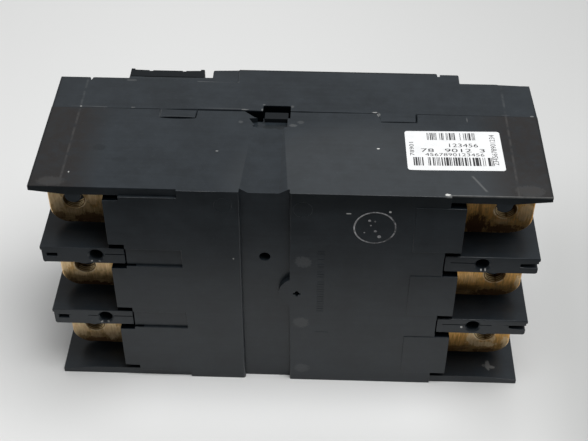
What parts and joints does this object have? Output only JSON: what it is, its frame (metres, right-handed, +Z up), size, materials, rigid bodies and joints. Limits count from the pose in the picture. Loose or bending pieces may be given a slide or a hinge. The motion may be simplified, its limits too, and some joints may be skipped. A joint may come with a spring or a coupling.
{
  "type": "molded case circuit breaker",
  "caption": "Molded case circuit breaker: black case with bare strap terminals in open end pockets, barriers between the poles, through mounting holes and a toggle handle.",
  "frame": {"origin": "centre of the footprint, on the surface that the breaker lies on", "axes": "+X along the case from the load end to the line end, +Y from the mounting side to the handle side, +Z up, across the poles"},
  "size_m": [0.2794, 0.138, 0.1527],
  "materials": {
    "case_plastic": "satin black moulded plastic, scuffed and dusty",
    "trim_plastic": "satin dark grey moulded plastic",
    "button_plastic": "glossy red plastic",
    "terminal_brass": "aged, stained brass-coloured strap",
    "zinc_steel": "dull zinc-plated steel",
    "plate_metal": "satin bare plate with plain ruled lines",
    "label_paper": "white coated paper with plain black bars"
  },
  "bodies": {
    "root": {"base": "case_plastic", "cover": "case_plastic", "trip_unit_cover": "trim_plastic", "load_barrier_1": "case_plastic", "load_barrier_2": "case_plastic", "line_barrier_1": "case_plastic", "line_barrier_2": "case_plastic", "load_terminal_1": "terminal_brass", "load_terminal_2": "terminal_brass", "load_terminal_3": "terminal_brass", "line_terminal_1": "terminal_brass", "line_terminal_2": "terminal_brass", "line_terminal_3": "terminal_brass", "handle": "case_plastic", "handle_guard": "trim_plastic", "handle_shutter": "trim_plastic", "trip_button": "button_plastic", "trip_dial_1": "zinc_steel", "trip_dial_2": "zinc_steel", "trip_dial_3": "zinc_steel", "cover_screw_1": "zinc_steel", "cover_screw_2": "zinc_steel", "cover_screw_3": "zinc_steel", "cover_screw_4": "zinc_steel", "trip_cover_screw_1": "zinc_steel", "trip_cover_screw_2": "zinc_steel", "upper_latch": "trim_plastic", "lower_latch": "trim_plastic", "rating_plate": "plate_metal", "side_label": "label_paper"}
  },
  "joints": []
}
